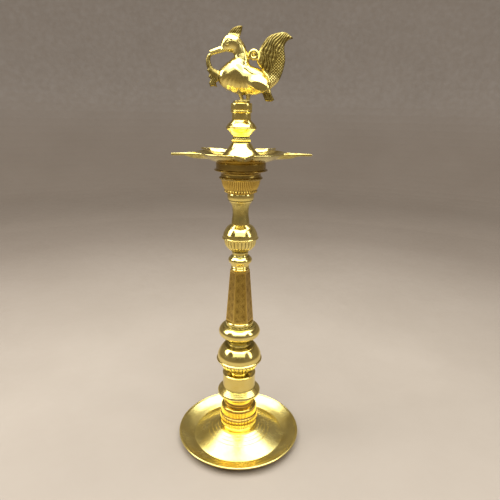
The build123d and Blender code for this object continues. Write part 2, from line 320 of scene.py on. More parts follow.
def loose_ring(name, outline, face, bore, reliefs=(), toned=(), columns=160):
    """Ring that lies between two sections, free on the stud through it."""
    runs, top = raise_outline(outline, face)
    moved = [raise_relief(relief, face) for relief in reliefs]
    return spin(name, [(bore, face), *runs, (bore, top)], face, moved, toned, columns, closed=True)


def stud_through(radius, grip, first, last):
    """Stud's radius, and its length: its grip and the loose pieces that it passes through."""
    return radius, grip + high(last) - low(first)


# ---- studs, and the holes for them ----------------------------------------------------
STUD = stud_through(8.0, 16.0, "foot_ring", "foot_ring")
SHAFT_STUD = stud_through(7.0, 16.0, "shaft_top_ring", "shaft_top_ring")
STEM_STUD = stud_through(6.0, 15.0, "oil_plate", "stem_washer")
BIRD_STUD = stud_through(4.0, 16.0, "finial_collar", "finial_collar")
SOCKET_SLACK = 0.35         # a socket's radius over its stud's
RING_SLACK = 0.4            # a loose ring's bore over its stud's radius


def hole_for(stud, depth=17.0):
    """Radius and depth of a stud's socket, or of the part of it that lies in one piece."""
    return (stud[0] + SOCKET_SLACK, depth)


def bore_for(stud):
    """Radius of a loose ring's bore."""
    return stud[0] + RING_SLACK


# ---- turned pieces ------------------------------------------------------------------
def base_dish():
    hole = bore_for(STUD)
    underside = [(0, 0), (14, 0), (14, 17.4), (28, 17.4), [(40, 12.5), (52, 6), (62, 0)], (76, 0)]
    lip = [[(87, 4), (95.2, 10.4)], [(96, 11.8), (95.4, 12.9), (94.2, 13.15), (93.2, 12.5)],
           (92.6, 11.6), [(82, 6.2), (71.6, 2.9)]]
    steps = [[(69.6, 3.2), (60, 7.2), (48.5, 12.2)], (48.3, 12.8), (43, 14.9), (42.8, 15.4),
             (38, 17.2), (37.8, 17.7), (33, 19.4), (33, 20.8)]
    tapped = [(hole + 0.8, 20.8), (hole, 20), (hole, 3.8), (0, 3.8)]
    line = wear_corners(expand(underside + lip + steps + tapped, 12))
    return lathe("base_dish_cast", line, ring_angles(256))


def foot_ring():
    outline = [(26.4, 0), [(28.2, 1.6), (28.2, 4.2)], (27.4, 4.6), (28.2, 5.2), (28.2, 8.4),
               (27.8, 9.2)]
    return loose_ring("foot_ring_turned", outline, low("foot_ring"), bore_for(STUD),
                      [milling(5.6, 9.4, 54, 0.9)], [(4.2, 5.4, 0.8)], 324)


def foot():
    outline = [
        (28.2, 0), [(29.6, 4), (30.3, 9), (29.4, 13)], (27.2, 14.2), [(27.9, 16.5), (27.9, 24.5)],
        [(26.6, 27.6), (23.6, 29.4)], (21.4, 30.2), (21.4, 31.4), [(23.4, 32.6), (21.4, 34)],
        (21, 36), [(21.4, 40), (23.4, 44.6)], (25.4, 47),
    ]
    reliefs = [flutes(0.4, 13.4, 36, 1.1), milling(15.4, 26.6, 72, 0.9), beads(31.2, 34.2, 40, 0.9)]
    toned = [(13.2, 15.4, 1.0), (29.8, 31.6, 0.9), (33.6, 35, 0.8)]
    return section("foot_turned", outline, high("foot_ring"), stud=STUD, reliefs=reliefs,
                   toned=toned, columns=432)


def drum():
    outline = [
        (30, 0), [(33, 2.6), (33.4, 5.6), (32.6, 7.4)], (31.2, 8), (31.2, 8.8), (29.2, 9.6),
        (29.2, 10.4), (27.2, 11.2), (27.2, 12), (25.2, 12.8), (25.2, 35.4),
        [(25.7, 36.8), (24.4, 38)], [(20, 35.6), (14, 36.4)], (13.6, 39),
    ]
    return section("drum_turned", outline, low("drum"), toned=[(12.4, 13.6, 0.7)])


def bulb_knop():
    outline = [
        (13.6, 0), [(24, 7.4), (30.6, 16.4), (32, 21.6)], (35, 22.2), (35, 23.6), (33.3, 24.4),
        [(32.6, 33), (25.4, 44.6), (18.6, 46.4)], (17.4, 46.6), (17.4, 48),
    ]
    reliefs = [flutes(0.6, 21.8, 32, 1.3, soft=2.5), milling(22.0, 23.9, 64, 0.45)]
    return section("bulb_knop_turned", outline, low("bulb_knop"), reliefs=reliefs,
                   toned=[(0, 2.0, 0.9), (45.6, 47.4, 0.8)], columns=384)


def torus_knop():
    outline = [
        (18.2, 0), (18.2, 2), (17.2, 2.6), (17.4, 4), [(21, 8.4), (25.4, 11.6)],
        [(30.6, 17.6), (31.2, 23.6), (27.4, 29.6), (22.4, 31.4)], (20, 31.5), (20, 32),
    ]
    return section("torus_knop_turned", outline, low("torus_knop"), socket=hole_for(STUD),
                   toned=[(1.8, 3.2, 0.9), (30.8, 32, 0.8)])


def shaft_ring():
    outline = [(20.2, 0), (20.2, 0.7), (19, 1), (19, 2.4), [(20.9, 3.2), (20.9, 5.6)], (20, 7)]
    return loose_ring("shaft_ring_turned", outline, low("shaft_ring"), bore_for(STUD),
                      [beads(0.7, 2.7, 48, 0.8)], [(0.6, 2.8, 0.7)], 384)


def shaft_top_ring():
    outline = [(12.8, 0), [(13.5, 1.4), (12.8, 2.8)], (12.2, 3.2), [(13.4, 4.6), (12.8, 6)]]
    return loose_ring("shaft_top_ring_turned", outline, low("shaft_top_ring"),
                      bore_for(SHAFT_STUD), toned=[(2.8, 3.6, 0.8)])


def collar():
    outline = [(13.2, 0), (13.6, 2.2), [(16.9, 7), (16.8, 11), (13.8, 14.6)], (12.2, 15),
               [(11.3, 17.4), (12, 19)]]
    return section("collar_turned", outline, high("shaft_top_ring"), stud=SHAFT_STUD,
                   toned=[(14.2, 16, 0.8)])


def petal_knop():
    outline = [
        (12, 0), (12, 3.4), [(17.4, 7.2), (21.8, 13), (23.4, 21.8)], (26.2, 22.6), (26.2, 23.8),
        (25, 24.4), [(24, 30), (19.4, 38.4), (13, 43)],
    ]
    reliefs = [flutes(3.2, 22.0, 26, 1.2, soft=2.0), milling(22.4, 24.0, 52, 0.4)]
    return section("petal_knop_turned", outline, low("petal_knop"), reliefs=reliefs,
                   toned=[(2.4, 4.2, 0.9)], columns=312)


def vase_neck():
    outline = [
        (13, 0), [(12.2, 7), (11.3, 15.5), (12.4, 26), (17, 34)], (17.9, 34.4), (17.9, 35.6),
        [(18.8, 39), (18.8, 43)], (18.2, 45),
    ]
    # The toned band from 2 to 33 mm is painted reflection: the dark surroundings mirrored in the
    # concave neck, painted into its colour.
    return section("vase_neck_turned", outline, low("vase_neck"),
                   toned=[(2, 33, 0.55), (34, 36, 0.8)])


def ribbed_cup():
    outline = [(19, 0), [(22.4, 1.4), (23.2, 3.4)], (22.4, 4.6), [(25.4, 10.4), (27.5, 19)]]
    reliefs = [milling(0.4, 4.2, 36, 0.7), flutes(4.8, 18.9, 60, 1.0, soft=0.8)]
    return section("ribbed_cup_turned", outline, low("ribbed_cup"), reliefs=reliefs,
                   toned=[(4.0, 5.4, 0.8)], columns=480)


def lower_disc():
    outline = [(28.6, 0), (30.2, 1.4), (30.2, 2.4), (28.4, 4)]
    return section("lower_disc_turned", outline, low("lower_disc"),
                   reliefs=[milling(0.8, 3, 90, 0.5)], columns=360)


def upper_disc():
    outline = [(28, 0), [(27.6, 4), (29.6, 6.6)], (36.9, 8.2), (36.9, 9.2), (35, 10)]
    return section("upper_disc_turned", outline, low("upper_disc"), socket=hole_for(STEM_STUD, 9.0))


def seat_drum():
    outline = [(34.4, 0), (34.4, 8.6), (33.8, 9.2)]
    return section("seat_drum_turned", outline, low("seat_drum"), socket=hole_for(STEM_STUD, 8.4))


def stem_washer():
    outline = [(15, 0), (15, 1.5)]
    return loose_ring("stem_washer_cut", outline, low("stem_washer"), bore_for(STEM_STUD))


def stem_bell():
    outline = [
        (27, 0), (27, 1.9), [(25.4, 6.9), (18.4, 14.3), (13.4, 21.9)], (12.2, 22.5), (12.2, 23.7),
        [(12.9, 25.5), (12.2, 27.3)], (11.6, 27.9), (11.6, 31.5), (12.6, 32.9),
    ]
    reliefs = [beads(23.7, 27.3, 30, 0.8), milling(28.3, 31.2, 30, 0.7)]
    toned = [(22.2, 24.2, 0.9), (27, 28.4, 0.9), (28.4, 31.4, 0.5)]
    return section("stem_bell_turned", outline, high("stem_washer"), stud=STEM_STUD,
                   reliefs=reliefs, toned=toned, columns=300)


def stem_knop():
    outline = [(13.2, 0), [(16, 3.8), (19.8, 6.8)], (20.9, 7.8), (20.9, 8.8), (19.8, 9.4),
               (20.7, 10.2), [(18.2, 13.6), (14.8, 17), (13, 19)]]
    return section("stem_knop_turned", outline, low("stem_knop"), socket=hole_for(BIRD_STUD, 10.0),
                   toned=[(8.8, 10, 0.9), (0, 0.8, 0.8)])


def stem_socket():
    outline = [(12.8, 0), (12.6, 8.9)]
    return section("stem_socket_turned", outline, low("stem_socket"),
                   socket=hole_for(BIRD_STUD, 8.4))


def finial_collar():
    outline = [(13.2, 0), [(14.3, 1.2), (14.3, 2.6)], (13.9, 3), (13.9, 3.6), (14.3, 4),
               (14.3, 10.3), [(14, 12.1), (12.8, 12.7)]]
    return loose_ring("finial_collar_turned", outline, low("finial_collar"), bore_for(BIRD_STUD),
                      toned=[(2.8, 3.8, 0.8)])


def hamsa_stud():
    top, chamfer = low("hamsa"), 0.8
    runs = stud_below(BIRD_STUD, top, chamfer) + [(0, top)]
    return spin("hamsa_stud_threaded", runs, top, [stud_thread(BIRD_STUD, top, chamfer)], (), 96)


# ---- six-sided shaft ------------------------------------------------------------------
SIDES = 6
SIDE = TAU / SIDES
SHAFT_TURN = radians(5)
SHAFT_FOOT, SHAFT_HEAD = 20.7, 14.4     # axis to a corner at the shaft's lower and upper end
CHASING = 0.28              # depth of the chased lines
MOTIF = 16.0                # height of one repeat of the chased creeper


def shaft_angles(per_face=44):
    """Angles that crowd towards the six edges, so that the edges stay crisp."""
    inner = np.linspace(-radians(29.3), radians(29.3), per_face)
    face = np.concatenate([[-radians(29.85)], inner, [radians(29.85)]])
    return np.concatenate([SHAFT_TURN + SIDE / 2 + side * SIDE + face for side in range(SIDES)])


def groove(gap, width):
    """1 on a line, falling to 0 at its width."""
    return 1 - np.clip(np.abs(gap) / width, 0, 1)


def creeper(u, v, half):
    """Chased lines at u across and v up a face of a given half width: a waving stem with
    outlined leaves and flowers, between two faint border lines."""
    v = v % MOTIF
    lines = groove(u - 0.34 * half * np.sin(TAU * v / MOTIF), 0.5)
    for flower_v, side in ((0.25, -1), (0.75, 1)):
        du, dv = u - side * 0.30 * half, v - flower_v * MOTIF
        reach = np.hypot(du, dv)
        petals = 3.0 * (0.74 + 0.26 * np.cos(5 * np.arctan2(dv, du)))
        inside = reach < petals
        lines = np.where(inside, 0, lines)
        lines = np.maximum.reduce([lines, groove(reach - petals, 0.45), groove(reach - 0.9, 0.4)])
        for lift in (-0.19, 0.19):
            du, dv = u - side * 0.56 * half, v - (flower_v + lift) * MOTIF
            lean = side * lift * 7
            along, across = du * cos(lean) + dv * sin(lean), -du * sin(lean) + dv * cos(lean)
            rim = np.hypot(along / 3.0, across / 1.4)
            leaf = np.maximum(groove((rim - 1) * 1.6, 0.45), 0.7 * groove(across, 0.3) * (rim < 1))
            lines = np.maximum(lines, leaf)
    return np.maximum(lines, 0.5 * groove(np.abs(u) - 0.86 * half, 0.4))


def hex_shaft():
    bottom, top = high("shaft_ring"), low("shaft_top_ring")
    length = top - bottom

    def corner_radius(z):
        return SHAFT_FOOT + (SHAFT_HEAD - SHAFT_FOOT) * np.clip((z - bottom) / length, 0, 1)

    def face_frame(phi, z):
        """Distance from the axis to the face, and the angle from the face's middle."""
        return corner_radius(z) * cos(SIDE / 2), (phi - SHAFT_TURN) % SIDE - SIDE / 2

    def chased(phi, z):
        inradius, turn = face_frame(phi, z)
        u = inradius * np.tan(turn)
        half = inradius * tan(SIDE / 2)
        field = envelope(z, bottom + 3.0, top - 3.0, 1.2)
        edge = np.clip((0.93 * half - np.abs(u)) / 0.5, 0, 1)
        cut = -CHASING * field * edge * (0.45 + 0.55 * creeper(u, z - bottom, half))
        return np.where((z > bottom + 0.5) & (z < top - 0.5), cut, 0)

    def six_sided(radius, phi, z):
        inradius, turn = face_frame(phi, z)
        side = (z >= bottom - 1e-6) & (z <= top + 1e-6) & (radius > 12.0)
        return np.where(side, radius / corner_radius(z) * inradius / np.cos(turn), radius)

    socket = socket_below(hole_for(SHAFT_STUD), top)
    runs = stud_below(STUD, bottom) + [(SHAFT_FOOT, bottom), (SHAFT_HEAD, top),
                                       (SHAFT_STUD[0] + 1.2, top)] + socket[1:]
    chasing = {"cut": chased, "depth": CHASING}
    screw = stud_thread(STUD, bottom)
    line = densify(wear_corners(expand(runs), 0.2), [screw["span"], (bottom + 0.6, top - 0.6, 0.4)])
    return lathe("hex_shaft_chased", line, shaft_angles(), [chasing, screw], shape=six_sided)


# ---- oil plate ------------------------------------------------------------------------
SPOUTS = 5
SPOUT_STEP = TAU / SPOUTS
FIRST_SPOUT = radians(274)
PLATE_BORE = 6.5
BOWL_RIM = 61.8
SPOUT_ROOT, SPOUT_TIP = 46.0, 96.6
SHEET = 1.8                 # thickness of the cast plate
TIP_SHEET = 2.6             # thickness of a spout's point
EDGE_ROUND = 0.4            # how far the plate's edge falls away on each side


def off_spout(phi):
    """Angle from the nearest spout's middle."""
    return (phi - FIRST_SPOUT + SPOUT_STEP / 2) % SPOUT_STEP - SPOUT_STEP / 2


def spout_half(reach):
    """Half width of a spout at a distance from the axis: a leaf with a drawn-out point."""
    share = np.clip((reach - SPOUT_ROOT) / (SPOUT_TIP - SPOUT_ROOT), 0, 1)
    return 21.0 * (1 - share) ** 1.9 + 1.9 * (1 - share) ** 0.5


def plate_outline(phi):
    """Radius of the plate's edge: a round bowl drawn out into five slender points."""
    reach = np.linspace(SPOUT_ROOT, SPOUT_TIP, 400)[::-1]
    half = spout_half(reach)
    spout = np.interp(np.abs(off_spout(phi)), np.arctan2(half, reach), np.hypot(half, reach))
    past, soft = spout - BOWL_RIM, 3.0
    return BOWL_RIM + 0.5 * (past + np.sqrt(past**2 + soft**2)) - 0.02 * soft


def plate_angles(per_spout=120):
    """Angles that crowd towards the middle of each spout."""
    t = np.linspace(-1, 1, per_spout, endpoint=False)
    off = SPOUT_STEP / 2 * np.sign(t) * np.abs(t) ** 2.4
    return np.concatenate([FIRST_SPOUT + k * SPOUT_STEP + off for k in range(SPOUTS)])


def oil_plate():
    base, rim = low("oil_plate"), high("oil_plate") - 0.05
    depth = rim - base - SHEET
    phi = plate_angles()
    rings = np.concatenate([[0.0], np.linspace(0.05, 0.9, 60), np.linspace(0.91, 1.0, 14)])
    edge = np.minimum(plate_outline(phi), SPOUT_TIP)[None, :]
    radius = PLATE_BORE + rings[:, None] * (edge - PLATE_BORE)
    x, y = radius * np.cos(phi), radius * np.sin(phi)
    off = off_spout(phi)
    reach, across = radius * np.cos(off), np.abs(radius * np.sin(off))
    bowl = np.interp(radius, [34, 40, 46, 52, 57, 60, 62], [1, 0.83, 0.64, 0.41, 0.19, 0.05, 0])
    keel = np.interp(reach, [40, 50, 60, 66, 71, 75, 79, 84, 95],
                     [7.6, 6.9, 6.2, 5.3, 3.9, 2.0, 0.9, 0.6, 0.2])
    middle = across / np.maximum(spout_half(reach) - 0.9, 0.1)
    floor_z = rim - np.maximum(depth * bowl, keel * np.clip(1 - middle**2, 0, 1) ** 0.75)
    fall = EDGE_ROUND * np.clip((radius - edge + 1.6) / 1.6, 0, 1) ** 3
    thick = SHEET + (TIP_SHEET - SHEET) * np.clip((reach - 62) / 12, 0, 1)
    top = np.stack([x, y, floor_z - fall], axis=2)
    under = np.stack([x, y, np.maximum(floor_z - thick + fall, base + 0.02)], axis=2)
    rows, columns = radius.shape
    index, nxt = grid_index(rows, columns)
    lower, lower_nxt = index + index.size, nxt + index.size
    faces = []
    for i in range(rows - 1):
        faces += face_rows(index[i], index[i + 1], nxt[i + 1], nxt[i])
        faces += face_rows(lower[i], lower_nxt[i], lower_nxt[i + 1], lower[i + 1])
    faces += face_rows(index[-1], lower[-1], lower_nxt[-1], nxt[-1])
    faces += face_rows(index[0], nxt[0], lower_nxt[0], lower[0])
    verts = np.concatenate([top.reshape(-1, 3), under.reshape(-1, 3)])
    # Painted shade: the plate's underside is painted darker towards its edge.
    underside_painted_shade = 0.62 * np.clip((radius - 40) / 20, 0, 1).ravel()
    tone = np.concatenate([np.zeros(index.size), underside_painted_shade])
    return make_object("oil_plate_cast", verts, faces, tone)


# ---- hamsa ----------------------------------------------------------------------------
VOXEL = 0.55
STRAND = 0.55               # height of the plume's strands
STUDS = 0.5                 # height of the studs on the plume's back
FEATHER = 0.12              # depth of the belly's feather grooves
EYE = (-18.4, 588.4)        # x and z of the middle of the eye


def ramp01(value, start, width):
    """0 up to a start, rising to 1 over a width. A negative width falls the other way."""
    return np.clip((value - start) / width, 0, 1)


class Clay:
    """Distance field that shapes are pressed into, symmetric about the lamp's XZ plane."""

    def __init__(self, lo, hi):
        axes = [np.arange(a, b + VOXEL, VOXEL, dtype=np.float32) for a, b in zip(lo, hi)]
        self.origin = np.array([axis[0] for axis in axes])
        self.x, self.y, self.z = np.meshgrid(*axes, indexing="ij", sparse=True)
        self.y = np.abs(self.y)
        self.flat_x, self.flat_z = self.x[:, 0, :], self.z[0, :, :]
        self.field = np.full([len(axis) for axis in axes], 50, dtype=np.float32)

    def add(self, shape, blend=1.5):
        """Joins a shape on with a smooth fillet."""
        gap = np.clip(0.5 + 0.5 * (self.field - shape) / blend, 0, 1)
        self.field = self.field * (1 - gap) + shape * gap - blend * gap * (1 - gap)

    def cut(self, shape, blend=1.0):
        """Takes a shape away."""
        gap = np.clip(0.5 - 0.5 * (self.field + shape) / blend, 0, 1)
        self.field = self.field * (1 - gap) - shape * gap + blend * gap * (1 - gap)

    def egg(self, centre, half_sizes, lean=0.0, tilt=0.0):
        """Ellipsoid leaning about Y by a number of degrees. tilt leans its top towards the
        middle plane, for each unit of height."""
        cx, cy, cz = centre
        a, b, c = half_sizes
        turn = radians(lean)
        dx, dz = self.x - cx, self.z - cz
        u = dx * cos(turn) - dz * sin(turn)
        w = dx * sin(turn) + dz * cos(turn)
        v = self.y - cy + tilt * dz
        near = np.sqrt((u / a)**2 + (v / b)**2 + (w / c)**2)
        slope = np.sqrt((u / a**2)**2 + (v / b**2)**2 + (w / c**2)**2)
        return near * (near - 1) / np.maximum(slope, 1e-6)

    def bar(self, start, end, start_r, end_r, flat=1.0):
        """Round bar that tapers between two points. flat squeezes it across the bird."""
        a, b = np.array(start, dtype=float), np.array(end, dtype=float)
        d = b - a
        px, py, pz = self.x - a[0], (self.y - a[1]) / flat, self.z - a[2]
        along = np.clip((px * d[0] + py * d[1] + pz * d[2]) / np.dot(d, d), 0, 1)
        gap = np.sqrt((px - along * d[0])**2 + (py - along * d[1])**2 + (pz - along * d[2])**2)
        return (gap - (start_r + (end_r - start_r) * along)) * min(flat, 1.0)

    def trail(self, points, radii, flat=1.0, steps=4):
        """Bars along a smooth curve."""
        curve = [np.array(points[0], dtype=float)] + smooth_run(points, steps)
        sizes = np.interp(np.linspace(0, len(points) - 1, len(curve)), range(len(points)), radii)
        shape = self.bar(curve[0], curve[1], sizes[0], sizes[1], flat)
        for k in range(1, len(curve) - 1):
            piece = self.bar(curve[k], curve[k + 1], sizes[k], sizes[k + 1], flat)
            shape = np.minimum(shape, piece)
        return shape

    def outline_gap(self, runs, steps=6):
        """Signed distance to a closed outline in the XZ plane, negative inside."""
        line = np.array(expand([*runs, runs[0]], steps))
        x, z = np.broadcast_arrays(self.flat_x, self.flat_z)
        gap = np.full(x.shape, 1e9)
        inside = np.zeros(x.shape, dtype=bool)
        for (px, pz), (qx, qz) in zip(line[:-1], line[1:]):
            dx, dz = qx - px, qz - pz
            if dx * dx + dz * dz < 1e-9:
                continue
            along = np.clip(((x - px) * dx + (z - pz) * dz) / (dx * dx + dz * dz), 0, 1)
            gap = np.minimum(gap, np.hypot(x - px - along * dx, z - pz - along * dz))
            if abs(dz) > 1e-9:
                inside ^= ((pz > z) != (qz > z)) & (x < px + (z - pz) * dx / dz)
        return np.where(inside, -gap, gap)

    def leaf(self, runs, thick, roll, relief=None):
        """Flat casting from an outline, full in the middle and thin at its edge."""
        gap = self.outline_gap(runs)
        swell = np.sqrt(np.clip(1 - (1 - np.clip(-gap / roll, 0, 1))**2, 0, 1))
        half = thick / 2 * (0.35 + 0.65 * swell)
        if relief is not None:
            pattern = relief(*np.broadcast_arrays(self.flat_x, self.flat_z))
            half = half + pattern * np.clip(-gap / 1.2, 0, 1)
        flat_gap, side = gap[:, None, :], self.y - half[:, None, :]
        blend = 1.2
        mix = np.clip(0.5 - 0.5 * (flat_gap - side) / blend, 0, 1)
        return flat_gap * (1 - mix) + side * mix + blend * mix * (1 - mix)

    def surface(self):
        """Surface-net mesh of the field's zero level."""
        field = self.field
        inside = field < 0
        size = np.array(field.shape) - 1

        def part(values, corner):
            i, j, k = corner
            return values[i:size[0] + i, j:size[1] + j, k:size[2] + k]

        corners = [(i, j, k) for i in (0, 1) for j in (0, 1) for k in (0, 1)]
        count = sum(part(inside, corner).astype(np.int8) for corner in corners)
        crossing = (count > 0) & (count < 8)
        cells = np.argwhere(crossing)
        index = np.full(crossing.shape, -1, dtype=np.int64)
        index[crossing] = np.arange(len(cells))
        total = np.zeros((len(cells), 3))
        number = np.zeros(len(cells))
        values = {corner: part(field, corner)[crossing] for corner in corners}
        for first in corners:
            for axis in range(3):
                if first[axis]:
                    continue
                second = tuple(1 if n == axis else first[n] for n in range(3))
                f, g = values[first], values[second]
                cut = (f < 0) != (g < 0)
                along = np.where(cut, f / np.where(cut, f - g, 1), 0)
                point = np.array(first) + along[:, None] * (np.array(second) - np.array(first))
                total += np.where(cut[:, None], point, 0)
                number += cut
        verts = self.origin + (cells + total / number[:, None]) * VOXEL
        quads = []
        for axis in range(3):
            other = [n for n in range(3) if n != axis]
            here = [slice(1, -1)] * 3
            here[axis] = slice(0, -1)
            ahead = list(here)
            ahead[axis] = slice(1, None)
            a, b = inside[tuple(here)], inside[tuple(ahead)]
            spots = np.argwhere(a != b)
            flip = a[a != b]
            spots[:, other[0]] += 1
            spots[:, other[1]] += 1
            corner_cells = []
            for du, dv in ((0, 0), (1, 0), (1, 1), (0, 1)):
                cell = spots.copy()
                cell[:, other[0]] -= du
                cell[:, other[1]] -= dv
                corner_cells.append(index[cell[:, 0], cell[:, 1], cell[:, 2]])
            quad = np.stack(corner_cells, axis=1)
            if axis == 1:
                flip = ~flip
            quad[~flip] = quad[~flip][:, ::-1]
            quads.append(quad)
        quads = np.concatenate(quads)
        return verts, quads[(quads >= 0).all(axis=1)]


def plume_strands(x, z):
    """Wavy hair-like strands up the plume, which follow its turn at the top, and round studs on
    its lower back."""
    across = x - 0.022 * np.clip(z - 575, 0, 30) ** 2
    strands = STRAND * np.cos(TAU * across / 3.7 + 1.5 * np.sin(z / 3.1 + 0.35 * across))
    strands *= 0.75 + 0.35 * np.sin(TAU * (z + 2.3 * across) / 9.4)
    studs = STUDS * np.clip(np.sin(x * 1.75) * np.sin(z * 1.75 + 0.8) + 0.25, -0.4, 1)
    back = ramp01(x - 0.42 * (z - 548.0), 33.0, 4.0) * ramp01(z, 588, -6)
    return strands * (1 - back) + studs * back


def veins(pitch, lean):
    """Even grooves that lean across a leaf."""
    turn = radians(lean)
    return lambda x, z: 0.32 * np.cos(TAU * (x * cos(turn) + z * sin(turn)) / pitch)


def feather_depth(x, y, z):
    """Long feather grooves that fan back along the belly, below the wing."""
    belly = ramp01(z + 0.15 * (x + 20), 549, -3) * ramp01(x, -30, 6) * ramp01(x, 38, -6)
    fan = np.degrees(np.arctan2(z - 566.0, x + 2.0))
    return FEATHER * belly * np.cos(TAU * fan / 11.0 + 0.3 * y)


def patina_of_bird(x, y, z):
    """Patina's depth over the casting: deep on the plume, vine, crest and tuft, and slight on the
    face and nape; the belly is painted darker towards its bottom, as painted shade."""
    plume = ramp01(x, 20, 6) * ramp01(z + 0.5 * (x - 27), 553, 6)
    hollows = np.clip(-plume_strands(x, z) / 0.45, 0, 1)
    feathers = np.clip(-feather_depth(x, np.abs(y), z) / FEATHER, 0, 1)
    face = np.hypot(x + 18.6, z - 587)
    return np.maximum.reduce([
        (0.75 + 0.25 * hollows) * plume,
        0.35 * feathers,
        0.78 * ramp01(x, -28, -4) * ramp01(z, 575, -1.5),       # vine
        0.85 * ramp01(z, 598, 3) * ramp01(x, 10, -3),           # crest
        0.85 * ramp01(z, 532, -3) * ramp01(x, 24, 3),           # tuft
        # Painted shade: the belly is painted darker towards its bottom, under the wing.
        0.50 * ramp01(z, 541, -9),                              # belly
        0.60 * ramp01(face, 5.6, -2.5),
        0.42 * ramp01(z, 564, 4) * ramp01(z, 584, -4) * ramp01(x, 10, -3),      # nape
    ])


def head_of_bird(clay):
    """Head, beak with its mouth line, crest, and an eye under its brow."""
    clay.add(clay.egg((-14.6, 0, 588.6), (12.2, 9.2, 10.8), -12), 4.0)
    past_tip = -0.87 * (clay.x + 42.2) - 0.49 * (clay.z - 579.8)
    beak = clay.bar((-22.0, 0, 582.8), (-41.0, 0, 576.9), 4.5, 3.3)
    clay.add(np.maximum(beak, past_tip), 0.8)
    clay.cut(clay.bar((-25.0, 4.2, 580.6), (-42.0, 3.3, 575.6), 0.6, 0.6), 0.2)
    clay.add(clay.bar((-24.2, 2.4, 588.0), (-24.8, 3.8, 580.4), 2.0, 2.0), 0.8)
    crest = [(-19.5, 594.0), [(-17.6, 600.4), (-12.6, 606.2), (-5.0, 609.2), (0.4, 609.2)],
             [(-0.6, 603.0), (-4.4, 592.0)]]
    clay.add(clay.leaf(crest, 4.6, 3.0, veins(2.1, -38)), 0.8)
    from_eye = np.hypot(clay.x - EYE[0], clay.z - EYE[1])
    clay.add(np.sqrt((from_eye - 2.9)**2 + (clay.y - 8.8)**2) - 0.75, 0.3)
    clay.add(clay.egg((EYE[0], 8.6, EYE[1]), (1.6, 1.4, 1.6)), 0.3)
    brow = [(-22.6, 6.8, 589.0), (-18.5, 8.6, 592.9), (-12.6, 8.8, 592.4)]
    clay.add(clay.trail(brow, [0.6, 0.9, 0.6]), 0.4)


def vine_of_bird(clay):
    """Vine that hangs from the beak to the breast, ending in a ragged leaf."""
    path = [(-39.0, 0, 575.8), (-42.8, 0, 572.6), (-43.6, 0, 566.6), (-41.8, 0, 560.0),
            (-37.8, 0, 554.0), (-29.0, 0, 549.4)]
    clay.add(clay.trail(path, [1.8, 2.4, 3.0, 3.3, 4.6, 5.8], 0.9), 0.4)
    leaf = [(-40.0, 560.0), (-45.8, 556.4), (-41.8, 551.6), (-43.8, 548.0), (-40.6, 545.0),
            (-43.0, 540.4), (-41.0, 535.6), (-36.6, 536.8), (-32.4, 535.4), (-33.6, 541.0),
            (-27.0, 546.0), (-27.0, 554.0)]
    clay.add(clay.leaf(leaf, 6.5, 2.4, veins(2.2, 28)), 0.8)


def tail_of_bird(clay):
    """Tall plume, the short tuft under it, and the ring between plume and neck."""
    plume = [
        (27.6, 556.0),
        [(18.8, 567.4), (22.6, 582.3), (32.5, 596.4), (43.3, 601.2), (54.9, 602.3), (65.2, 595.6)],
        [(57.4, 592.0), (54.1, 584.0), (55.6, 567.0), (49.1, 545.4), (37.5, 533.9)], (24.0, 540.0),
    ]
    clay.add(clay.leaf(plume, 9.6, 7.0, plume_strands), 1.4)
    tuft = [(26.0, 531.0), (31.2, 519.0), [(35.4, 518.4), (40.0, 518.5)], (43.4, 520.8),
            [(39.4, 528.0), (37.5, 536.4)], (28.0, 538.0)]
    clay.add(clay.leaf(tuft, 7.6, 2.6, veins(2.4, 14)), 1.2)
    ring = np.sqrt((np.hypot(clay.x - 15.1, clay.z - 575.6) - 4.6)**2 + clay.y**2) - 2.5
    clay.add(ring, 1.0)
    clay.add(clay.egg((15.1, 0, 575.6), (1.7, 2.6, 1.7)), 0.6)


def legs_of_bird(clay):
    """Legs, toes and the round plinth that they stand on."""
    wing_side = [(-6.4, 9.6, 539.0), (-2.4, 7.0, 529.0), (1.2, 4.2, 519.0)]
    clay.add(clay.trail(wing_side, [1.6, 3.0, 2.1]), 0.7)
    thigh = [(7.6, 5.4, 534.0), (8.6, 4.6, 526.0), (8.4, 3.6, 519.0)]
    clay.add(clay.trail(thigh, [4.4, 3.0, 2.2]), 1.2)
    for x, y in ((-5.6, 5.4), (-1.0, 7.4), (10.0, 5.0)):
        clay.add(clay.bar((3.4, 3.4, 519.2), (x, y, 518.8), 1.7, 0.9), 0.6)
    clay.add(np.maximum(np.hypot(clay.x, clay.y) - 11.2, np.abs(clay.z - 517.55) - 1.3), 0.6)


def hamsa():
    lo, hi = (np.array(corner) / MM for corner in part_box("hamsa"))
    clay = Clay(lo - 2.5, hi + 2.5)
    clay.add(clay.egg((4.0, 0, 544.6), (34.0, 15.4, 18.6), 6))
    clay.add(clay.egg((-15.6, 0, 549.6), (15.2, 13.0, 13.6)), 6.0)
    neck = [(-7.0, 0, 557.0), (-1.0, 0, 566.0), (-1.4, 0, 575.0), (-4.6, 0, 583.6),
            (-10.4, 0, 589.0)]
    clay.add(clay.trail(neck, [14.6, 10.6, 8.9, 8.6, 8.6], flat=0.92), 5.0)
    clay.field += feather_depth(clay.x, clay.y, clay.z)
    clay.add(clay.egg((13.0, 6.8, 548.4), (27.0, 7.6, 12.2), 33, tilt=0.5), 0.7)
    shoulder = [(4.0, 10.5, 559.0), (13.0, 12.0, 552.6), (22.6, 10.6, 551.0)]
    clay.add(clay.trail(shoulder, [1.6, 1.5, 0.8]), 0.9)
    for add_part in (head_of_bird, vine_of_bird, tail_of_bird, legs_of_bird):
        add_part(clay)
    clay.field = np.maximum(clay.field, lo[2] + 0.02 - clay.z)
    verts, quads = clay.surface()
    verts = np.clip(verts, lo + 0.01, hi - 0.01)
    return make_object("hamsa_cast", verts, quads.tolist(), patina_of_bird(*verts.T))


